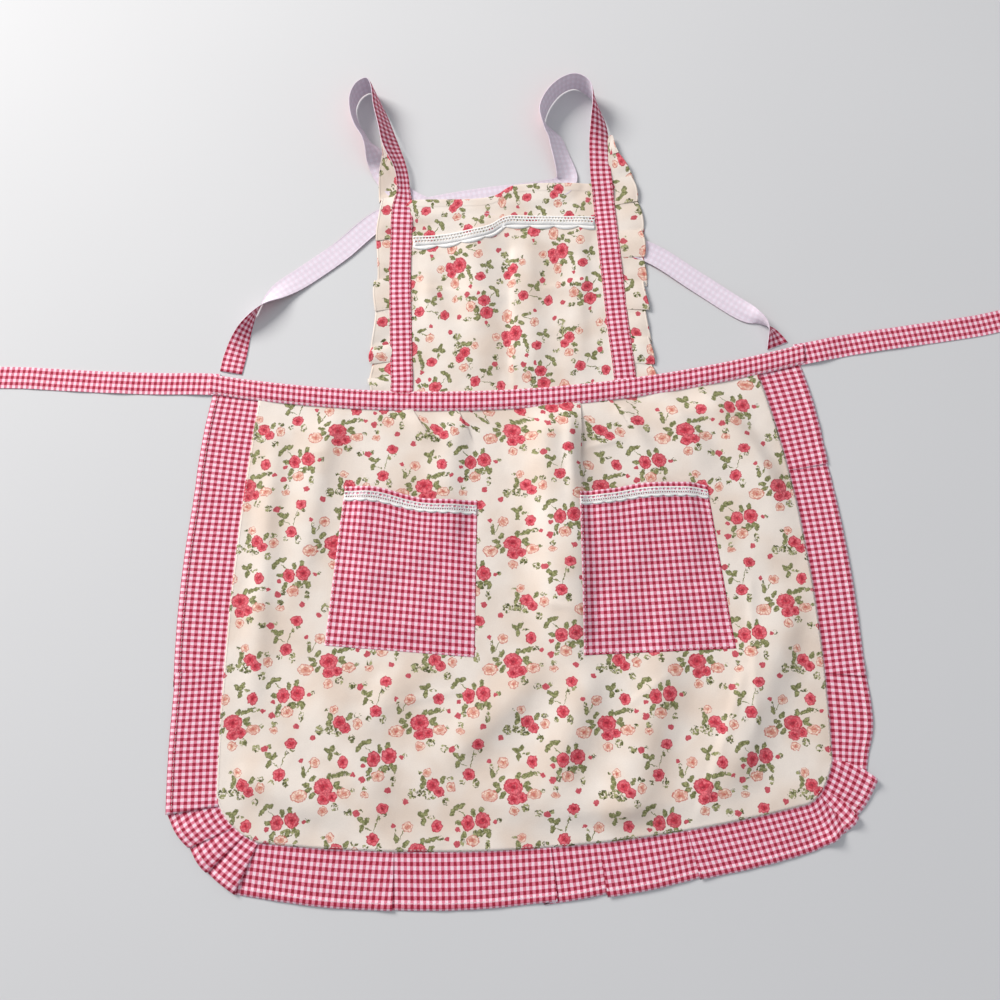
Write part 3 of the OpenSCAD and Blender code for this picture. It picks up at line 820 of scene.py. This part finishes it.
def pleated(seam, edge, pleats, tuck, step, hem, inset, lift, puff, base, seed, shares, wander,
            cross=3.0, ends=(0, 0), below=(3, 3), bow=0):
    """Strip of cloth pleated into a seam. pleats are (share of the seam, share of the edge, side on top),
    where the side is -1 for the part before the pleat, 1 for the part after it and 0 for none; ends are such
    sides for the two ends of the strip, where it meets the next one, shares where those ends are, and below
    how far the outer edge goes on under that next one. Folds are curved by bow. It gives the plan, the place
    on the flat cloth and the height of each point, then the shares of its rows and its width."""
    n = 400
    seam, edge = resampled(seam, n), resampled(edge, n)
    wide = float(np.mean(np.linalg.norm(edge - seam, axis=1)))
    long = length(edge)

    def at(line, t):
        """Points of a line that goes straight on past both its ends."""
        before = np.clip(t, None, 0)[:, None] * long * unit(line[1] - line[0])
        after = np.clip(t - 1, 0, None)[:, None] * long * unit(line[-1] - line[-2])
        return by_share(line, np.clip(t, 0, 1)) + before + after

    cuts = [(*shares[0], ends[0])] + list(pleats) + [(*shares[1], ends[1])]
    down = np.unique(np.concatenate([np.linspace(-inset / wide, 1, int(wide / cross) + 3),
                                     [1 - hem / wide, 1 - (hem + 0.5) / wide]]))
    share, out = down[:, None], ease(np.clip(down, 0, 1))
    turned_hem = 0.35 * ease((down - 1 + (hem + 0.5) / wide) * wide / 0.5)
    fold_height = lift * mix(min(0.55, 0.6 / lift), 1, out)
    draw = np.random.default_rng(seed)
    cols, uvs, heights = [], [], []
    u = 0.0
    for i in range(len(cuts) - 1):
        (s0, e0, top0), (s1, e1, top1) = cuts[i], cuts[i + 1]
        deep0 = tuck / long if top0 < 0 else 0
        deep1 = tuck / long if top1 > 0 else 0
        count = max(3, int((e1 - e0 + deep0 + deep1) * long / step))
        t = np.linspace(0, 1, count + 1)
        out0 = min(deep0, below[0] / long) if i == 0 else deep0
        out1 = min(deep1, below[1] / long) if i == len(cuts) - 2 else deep1
        ts, te = mix(s0 - deep0, s1 + deep1, t), mix(e0 - out0, e1 + out1, t)
        a, b = at(seam, ts), at(edge, te)
        ahead = unit(b[-1] - b[0])
        run = t * (e1 - e0 + deep0 + deep1) * long
        left = run[-1] - run
        broad = 9 if bow else 16
        level = max(top0, 0) * bump(run, broad) + max(-top1, 0) * bump(left, broad)
        roll = (5.0 if top1 == SMOOTH else 0) * bump(left - 18, 9)
        under0, under1 = deep0 * long / run[-1], deep1 * long / run[-1]
        seen = np.clip((t - under0) / (1 - under0 - under1), 0, 1)
        swell = puff * draw.uniform(0.5, 1.2) * np.sin(math.pi * seen)
        tilt = draw.uniform(-1, 1) * wander
        for k in range(count + 1):
            flare = wander * np.sin(math.pi * t[k] + tilt) * out
            plan = mix(a[k], b[k], share) + unit(b[k] - a[k]) * flare[:, None]
            if top1 == -1:
                plan = plan + ahead * (bow * t[k] ** 3 * np.sin(math.pi * np.clip(down, 0, 1)))[:, None]
            cols.append(plan)
            uvs.append(np.stack([u + (plan - b[0]) @ ahead, down * wide], 1))
            z = base + fold_height * level[k] + swell[k] * out * (1 - 0.3 * down)
            z = z + roll[k] * np.clip(down, 0, 1) ** 0.7 * out + turned_hem
            heights.append(z + 0.25 * ripple(plan[:, 0], plan[:, 1], 26, seed + 1) * out)
        u += run[-1] + 2 * tuck
    plan, uv, z = np.stack(cols, 1), np.stack(uvs, 1), np.stack(heights, 1)
    return plan, uv, np.maximum(z, max(CLOTH + 0.05, base)), down, wide


def joined(line, more, share):
    """line, followed by the first share of the next line."""
    return np.concatenate([line, more[1:int(len(more) * share)]])


def remainder(line, share):
    return line[int(len(line) * share) - 1:]


# Name, seam, edge, pleats, and what pleated() takes as shares, ends, below and bow.
RUFFLES = [
    ("ruffle_left", SEAM_LEFT, EDGE_LEFT,
     [(0.235, 0.235, 1), (0.685, 0.680, 1)], ((-0.035, -0.035), (1.025, 1.0)), (0, -1), (0, 0), 0),
    ("ruffle_corner_left", SEAM_CORNER_LEFT, EDGE_CORNER_LEFT,
     [(0.55, 0.37, -1), (0.75, 0.66, -1)], ((0.2, 0.02), (1, 1)), (-1, -1), (2, 0), 0),
    ("ruffle_bottom",
     joined(SEAM_BOTTOM, SEAM_CORNER_RIGHT, 0.5), joined(EDGE_BOTTOM, EDGE_CORNER_RIGHT, 0.36),
     [(0.237, 0.252, -1), (0.511, 0.514, -1), (0.597, 0.593, 1), (0.753, 0.743, 1)], ((0, 0), (1, 1)),
     (-1, SMOOTH), (2, 0), 0),
    ("ruffle_corner_right", remainder(SEAM_CORNER_RIGHT, 0.5), remainder(EDGE_CORNER_RIGHT, 0.36),
     [(0.12, 0.19, -1)], ((0, 0), (1, 0.76)), (SMOOTH, -1), (9, 0), 4),
    ("ruffle_right", SEAM_RIGHT, EDGE_RIGHT,
     [(0.21, 0.20, 1), (0.74, 0.745, 1)], ((0, 0), (1.035, 1.035)), (-1, 0), (20, 0), 0),
]


def make_ruffles():
    """The parts of the ruffle, each a little lower than the one before it so that none lies in another."""
    hem_rows, run_so_far = [], 0
    for k, (name, seam, edge, pleats, shares, ends, below, bow) in enumerate(RUFFLES):
        tuck, puff, lift = (9, 3.0, 4.2 if bow else 2.4) if "corner" in name else (14, 1.8, 1.5)
        plan, uv, z, down, wide = pleated(
            seam, edge, pleats, tuck=tuck, step=3.0, hem=6.5, inset=6, lift=lift, puff=puff,
            base=0.82 - 0.08 * k, seed=20 + k, shares=shares, wander=1.6, ends=ends, below=below, bow=bow)
        if ends[0] == SMOOTH:
            uv = uv + (run_so_far - tuck, 0)
        run_so_far = np.mean(uv[:, -1, 0])
        points = lifted(plan, z)
        obj = grid(name + "_cloth", points, uv, [CHECK, CHECK_BACK], flip=True)
        fixed(obj, "gingham_cotton", "skirt", name)
        hem_rows.append(points[int(np.argmin(abs(down - (1 - 5.5 / wide))))])
    fixed(stitches("hem_stitches", hem_rows), "thread", "skirt", "hem_stitching")


def make_skirt_stitches():
    lines = []
    for seam in SEAMS:
        line = resampled(seam, max(8, int(length(seam) / 4)))
        ahead = unit(np.gradient(line, axis=0))
        x, y = (line + np.stack([-ahead[:, 1], ahead[:, 0]], 1) * 1.8).T
        points = np.stack([x, y, SEAM_LIFT + 0.4 * ripple(x, y, 40, 8)], 1)
        lines.append(points[y < band_top(x) - BAND_W - 2])
    fixed(stitches("seam_stitches", lines), "thread", "skirt", "ruffle_seam_stitching")


# ---- waistband


def band_height(x, down):
    """Height of the waistband's upper face, `down` from its top edge."""
    arch = np.sin(math.pi * np.clip(down / BAND_W, 0, 1))
    return 3.0 + 0.9 * arch**0.8 + (0.35 * ripple(x, down * 2, 17, 31) + 0.2 * ripple(x, down, 7, 32)) * arch


def make_waistband():
    x = np.linspace(BAND_ENDS[0] - 1, BAND_ENDS[1] + 1, 300)
    down = np.array([-0.35, 0, 0.8, 1.7, 2.3, 3.4, 6, 9, 12, 15, 18, 19.2, 20, 21.2, 22, 22.35])
    X, D = np.meshgrid(x, down)
    plan, uv = np.stack([X, band_top(X) - D], -1), np.stack([X * 1.01, D], -1)
    turned = np.array([1.3, 0.55, 0.1] + 10 * [0] + [0.1, 0.55, 1.3])[:, None]
    rows = (2.1, 19.8)
    seam = 0.35 * sum(bump(D - row, 0.7) for row in rows)
    front = grid("waistband_front_cloth", lifted(plan, band_height(X, D) - turned - seam), uv,
                 [CHECK, CHECK_BACK], flip=True)
    back = grid("waistband_back_cloth", lifted(plan, np.full_like(X, 0.5)), uv, [CHECK, CHECK_BACK])
    fixed(front, "gingham_cotton", "skirt", "waistband_front")
    fixed(back, "gingham_cotton", "skirt", "waistband_back")
    lines = [np.stack([x, band_top(x) - row, band_height(x, np.full_like(x, row)) - 0.35], 1)[2:-2]
             for row in rows]
    fixed(stitches("waistband_stitches", lines), "thread", "skirt", "waistband_stitching")


# ---- pockets

# Side, corners and the way the mouth sags or rises, as (share of its width, height).
POCKETS = [
    ("left", CORNERS_LEFT, [(0, 0), (0.25, 2.2), (0.5, -3.4), (0.66, -4.4), (1, 0)]),
    ("right", CORNERS_RIGHT, [(0, 0), (0.25, 1.2), (0.5, 4.6), (0.85, 2.5), (1, -2)]),
]
POCKET_MARGIN, POCKET_SLOPE, POCKET_OPEN = 5, 26, 5.2
SEWN_IN = 2.2  # from a pocket's edge to its stitches


def pocket_surface(corners, mouth):
    """Function that gives points on a pocket, from how far right of its left edge and below its mouth they
    lie, then the pocket's width and height."""
    q = [np.array(c, float) for c in corners]
    wide, tall = np.linalg.norm(q[1] - q[0]), np.linalg.norm(q[2] - q[1])
    bow = smooth(mouth, 12)

    def surface(right, down):
        u, v = right / wide, down / tall
        plan = mix(mix(q[0], q[1], u[..., None]), mix(q[3], q[2], u[..., None]), v[..., None])
        plan[..., 1] += np.interp(u, bow[:, 0], bow[:, 1]) * (1 - ease(down / 60))
        edge = np.minimum(np.minimum(right, wide - right), tall - down)
        x, y = plan[..., 0], plan[..., 1]
        puff = ease((edge - POCKET_MARGIN) / (POCKET_SLOPE - POCKET_MARGIN))
        waves = ease(edge / 20) * (0.8 * ripple(x, y, 60, 41) + 0.35 * ripple(x, y, 26, 42))
        ground = np.maximum(skirt_height(x, y), 1.0)
        return lifted(plan, ground + 0.75 + puff * mix(POCKET_OPEN, 1.6, ease(down / 110)) + waves)

    return surface, wide, tall


POCKET_LACE_ROWS = [(0, 1.0, 3.2, 0, None), (1.0, 4.2, 4.25, 0, (1.7, 1.15)), (4.2, 4.9, 3.2, 0, None),
                    (4.9, 6.9, 2.55, 0.5, (0.85, 0.7)), (6.9, 7.6, 3.2, 0, None)]


def make_pocket(side, corners, mouth):
    surface, wide, tall = pocket_surface(corners, mouth)
    right = np.unique(np.concatenate([np.linspace(0, wide, 52), [0.5, 1.2, wide - 1.2, wide - 0.5]]))
    down = np.unique(np.concatenate([np.linspace(0, tall, 58), [0.4, tall - 1.2, tall - 0.5]]))
    R, D = np.meshgrid(right, down)
    points = surface(R, D)
    edge = np.minimum(np.minimum(R, wide - R), tall - D)
    points[..., 2] -= 0.45 * (1 - ease(edge / 1.3)) + 0.30 * bump(edge - SEWN_IN, 0.8)
    cloth = grid(f"pocket_{side}_cloth", points, np.stack([R, D], -1), [CHECK, CHECK_BACK], flip=True)
    fixed(cloth, "gingham_cotton", "skirt", f"pocket_{side}")
    tape = lace(f"pocket_lace_{side}_tape", wide - 1.0, POCKET_LACE_ROWS, 12.7, 2.0,
                lambda s, d: surface(s + 0.5, d + 5.0))
    fixed(tape, "lace", "skirt", f"pocket_lace_{side}")
    corners = np.array([(SEWN_IN, 0.5), (SEWN_IN, tall - SEWN_IN), (wide - SEWN_IN, tall - SEWN_IN),
                        (wide - SEWN_IN, 0.5)])
    path = np.concatenate([np.linspace(a, b, 60) for a, b in zip(corners, corners[1:])])
    line = surface(*path.T)
    line[:, 2] -= 0.3
    fixed(stitches(f"pocket_stitches_{side}", [line]), "thread", "skirt", f"pocket_stitching_{side}")


# ---- bib


def bib_print(plan):
    """Place on the bib's flowered cloth, cut with the print turned a quarter, that lies a little askew."""
    skew = np.linalg.inv(np.array(((0.95, -0.05), (0.15, 0.96))))
    lie = (plan - np.array((4, 75))) @ skew.T
    return np.stack([-lie[..., 1], lie[..., 0]], -1)


BIB_LACE_TOP = [(-114, 195), (-81, 197), (-43, 203), (-24, 209), (-6, 220), (20, 221), (97, 220)]
BIB_LACE_ROWS = [(0, 1.1, 3.6, 0, None), (1.1, 4.3, 3.6, 0, (1.35, 1.1)), (4.3, 5.0, 3.6, 0, None),
                 (5.0, 8.2, 3.6, 0.5, (1.35, 1.1)), (8.2, 12.4, 3.6, 0, None)]


def make_bib():
    bottom = under_band(-123, 126, 100, 6)
    left = np.concatenate([[(-123, 0)], SEWN_LEFT[SEWN_LEFT[:, 1] < 238], BIB_TOP[:1]])
    right = np.concatenate([SEWN_RIGHT[SEWN_RIGHT[:, 1] < 260], BIB_TOP[-1:]])
    left, right = (resampled(side, 200)[::-1] for side in (left, right))
    bottom[0], bottom[-1] = left[-1], right[-1]
    a, b = np.linspace(0, 1, 90), np.unique(np.concatenate([np.linspace(0, 1, 90), [0.002, 0.036, 0.040]]))
    plan = coons(resampled(BIB_TOP, 200), resampled(bottom, 200), left, right, a, b)
    x, y = plan[..., 0], plan[..., 1]
    below_top = b[:, None] * 250
    hem = 0.4 * (1 - ease((below_top - 9.2) / 0.8)) - 0.3 * (1 - ease(below_top / 0.8))
    z = bib_height(x, y) + hem
    z = mix(np.minimum(z, 2.3), z, ease((y - band_top(x) - 2) / 18))
    cloth = grid("bib_cloth", lifted(plan, z), bib_print(plan), [FLORAL, FLORAL_BACK], flip=True)
    across_fold(cloth, "floral_cotton", "bib_panel", "bib_base")

    top = resampled(smooth(BIB_LACE_TOP, 12), 200)
    long = length(top)

    def place(along, down):
        x, y = by_share(top, along / long).T
        return np.stack([x, y - down, bib_height(x, y - down)], 1)

    tape = lace("bib_lace_tape", long, BIB_LACE_ROWS, 28, 4.0, place)
    fixed(tape, "lace", "bib", "bib_lace")


FRILL_PLEATS_LEFT = [(0.08, 0.065, -1), (0.13, 0.115, 1), (0.19, 0.175, -1), (0.315, 0.30, 1),
                     (0.43, 0.415, -1), (0.57, 0.56, 1), (0.72, 0.72, -1), (0.86, 0.86, 1)]
FRILL_PLEATS_RIGHT = [(0.10, 0.09, 1), (0.20, 0.19, -1), (0.30, 0.29, 1), (0.41, 0.40, -1), (0.50, 0.49, 1),
                      (0.60, 0.60, -1), (0.70, 0.71, 1), (0.80, 0.81, -1), (0.90, 0.91, 1)]


def make_frill(index, side, sewn, edge, pleats, rise):
    """Frill beside a strap; rise is how high its upper end goes with the strap."""
    tip = edge[-1]
    seam = np.concatenate([sewn, smooth([sewn[-1], mix(sewn[-1], tip, 0.5), tip], 10)[1:]])
    plan, uv, z, *_ = pleated(seam, edge, pleats, tuck=6, step=2.2, hem=1.5, inset=2, lift=1.2, puff=2.8,
                              base=0, seed=60 + index, shares=((0.012, 0.012), (0.985, 0.985)), wander=2.2,
                              cross=2.2)
    x, y = plan[..., 0], plan[..., 1]
    ground = np.minimum(bib_height(x, y), 3.2) - 0.6 + rise * ease((y - 248) / 44)
    cloth = grid(f"frill_{side}_cloth", lifted(plan, ground + z), uv + (17 + 40 * index, 23),
                 [FLORAL, FLORAL_BACK], flip=index == 1)
    across_fold(cloth, "floral_cotton", f"frill_{side}", f"frill_base_{side}")


# ---- straps and ties

# Where the points of a strap or tie lie across it, from edge to edge.
ACROSS = np.array([-1, -0.97, -0.9, -0.84, -0.7, -0.4, 0, 0.4, 0.7, 0.84, 0.9, 0.97, 1])
FOLDED_THICK = 0.8


def crown(high, groove):
    """Rounded section of a strap, with a groove along each of its rows of stitches."""
    edge = 1 - np.abs(ACROSS)
    return high * ease(edge / 0.16) - groove * bump(edge - 0.15, 0.05) - 0.2


def swept_tape(name, centres, sides, face, rise, run, middle=0):
    """Tape along a line, with its points. sides point across it, face points up from its upper side, rise is
    how far each point stands off that way and run how far along the cloth each row lies; middle is the
    print's place on it."""
    points = centres[:, None, :] + sides[:, None, :] * (ACROSS[:, None] * STRAP_W / 2)
    points = points + face[:, None, :] * rise[..., None]
    points[..., 2] = np.maximum(points[..., 2], 0.9)
    uv = np.stack(np.broadcast_arrays(run[:, None], middle - ACROSS * STRAP_W / 2), -1)
    return grid(name, points, uv, [CHECK, STRAP_BACK], thick=FOLDED_THICK), points


def make_strap(index, side, route, foot, sewn_to):
    """Shoulder strap, which lies on the bib as far up as sewn_to and leaves it within the next 26 mm."""
    line = smooth([tuple(p) + (1,) * (5 - len(p)) for p in foot + route], 12)
    run = run_along(line[:, :3])
    even = np.linspace(0, run[-1], int(run[-1] / 2.5) + 1)
    line = between_points(even, run, line)
    x, y, z, turn, share = line.T
    sewn = np.cumprod(y < 262) > 0
    hold = np.where(sewn, 1 - ease((y - sewn_to) / 26), 0)
    centres = np.stack([x, y, mix(z, bib_height(x, y) + 0.75, hold)], 1)
    ahead, level, up = frame_along(centres)
    turn = np.radians(turn)[:, None]
    sides = np.cos(turn) * level - np.sin(turn) * up
    face = np.cross(sides, ahead)
    curl = (1.2 * np.sin(even / 37 + 2 * index) * (1 - hold))[:, None] * (ACROSS**2 - 0.4)
    tape, points = swept_tape(f"shoulder_strap_{side}_tape", centres, sides * share[:, None], face,
                              crown(0.45, 0.3) + curl, even)
    tape.modifiers[0].material_offset_rim = 1
    across_fold(tape, "gingham_cotton", f"shoulder_strap_{side}", f"strap_base_{side}")
    last = int(np.argmax(~sewn))
    lines = [points[2:last, k] + face[2:last] * 0.05 for k in (2, 10)]
    across_fold(stitches(f"strap_stitches_{side}", lines), "thread", f"strap_stitching_{side}")


def make_tie(index, side):
    """Waist tie that runs away from the waistband and ends in a hank, folded to and fro in layers."""
    x0 = BAND_ENDS[index]
    pivot = np.array((x0, band_top(x0) - BAND_W / 2))
    angle = math.radians(TIE_TURN[index])
    ahead = np.array((math.cos(angle), math.sin(angle)))
    normal = np.array((-ahead[1], ahead[0]))
    layer, bend = 1.65, 1.2
    near, far = TIE_RUN + 2, TIE_RUN + (TIE_LENGTH - TIE_RUN) / HANK_RUNS - 2
    # How far from the pivot and how high the tie runs.
    path = [(-9, 2.3), (-2, 2.3), (8, 2.3), (20, 2.1), (40, 1.6), (70, 1.3), (105, 1.6), (140, 1.2),
            (175, 1.0), (210, 0.9), (TIE_RUN, 0.9)]
    for k in range(HANK_RUNS):
        z = 0.9 + layer * k
        a, b, out = (near, far, bend) if k % 2 == 0 else (far, near, -bend)
        path += [(mix(a, b, t), z) for t in (0.15, 0.4, 0.65, 0.9, 1)]
        if k < HANK_RUNS - 1:
            path += [(b + out * more, z + layer * t) for more, t in ((1, 0.28), (1.2, 0.5), (1, 0.72))]
    line = smooth(path, 6)
    along, high = line.T
    run = run_along(line)
    flat = 1 - ease((along - 200) / 40)
    sway = 1.6 * np.sin(along / 60 + index) * ease(along / 60) * flat
    centres = lifted(pivot + along[:, None] * ahead + sway[:, None] * normal, high)
    sides = np.broadcast_to(np.append(-normal, 0), centres.shape)
    slope = unit(np.gradient(line, axis=0))
    face = lifted(-slope[:, 1:] * ahead, slope[:, 0])
    waves = 0.5 * flat[:, None] * ripple(run[:, None], ACROSS * 12, 40, 71 + index)
    tape, _ = swept_tape(f"waist_tie_{side}_tape", centres, sides, face, crown(0.35, 0.25) + waves, run, 11)
    bending(tape, "gingham_cotton", f"tie_{side}", pivot - 8 * ahead, pivot + 14 * ahead, f"waist_tie_{side}")


# ---- all together

make_skirt()
make_ruffles()
make_skirt_stitches()
make_waistband()
for pocket in POCKETS:
    make_pocket(*pocket)
make_bib()
make_frill(0, "left", SEWN_LEFT, FRILL_LEFT, FRILL_PLEATS_LEFT, 6.0)
make_frill(1, "right", SEWN_RIGHT, FRILL_RIGHT, FRILL_PLEATS_RIGHT, 4.0)
make_strap(0, "left", FREE_LEFT, FOOT_LEFT, 214)
make_strap(1, "right", FREE_RIGHT, FOOT_RIGHT, 232)
make_tie(0, "left")
make_tie(1, "right")


def make_stage():
    bpy.ops.mesh.primitive_plane_add(size=8, location=(0, 0, 0))
    floor = bpy.context.object
    floor.name = "floor"
    s = Shader("floor")
    clouds = s.noise(s.node("TexCoord").outputs["Object"], 0.5)
    s.put(s.surface.inputs["Base Color"], s.mix(clouds, (0.62, 0.62, 0.63, 1), (0.66, 0.66, 0.67, 1)))
    s.surface.inputs["Roughness"].default_value = 0.9
    floor.data.materials.append(s.material)
    make_light("key", (-2.55, 2.02, 1.85), 1.4, 167, (1.0, 0.975, 0.94))
    make_light("fill", (1.4, -1.0, 1.8), 1.6, 4, (0.93, 0.95, 1.0))
    world = bpy.data.worlds.new("studio")
    world.use_nodes = True
    sky = world.node_tree.nodes["Background"].inputs
    sky["Color"].default_value, sky["Strength"].default_value = (0.92, 0.95, 1.0, 1), 0.46
    bpy.context.scene.world = world
    bpy.context.scene.view_settings.view_transform = "Standard"


make_stage()
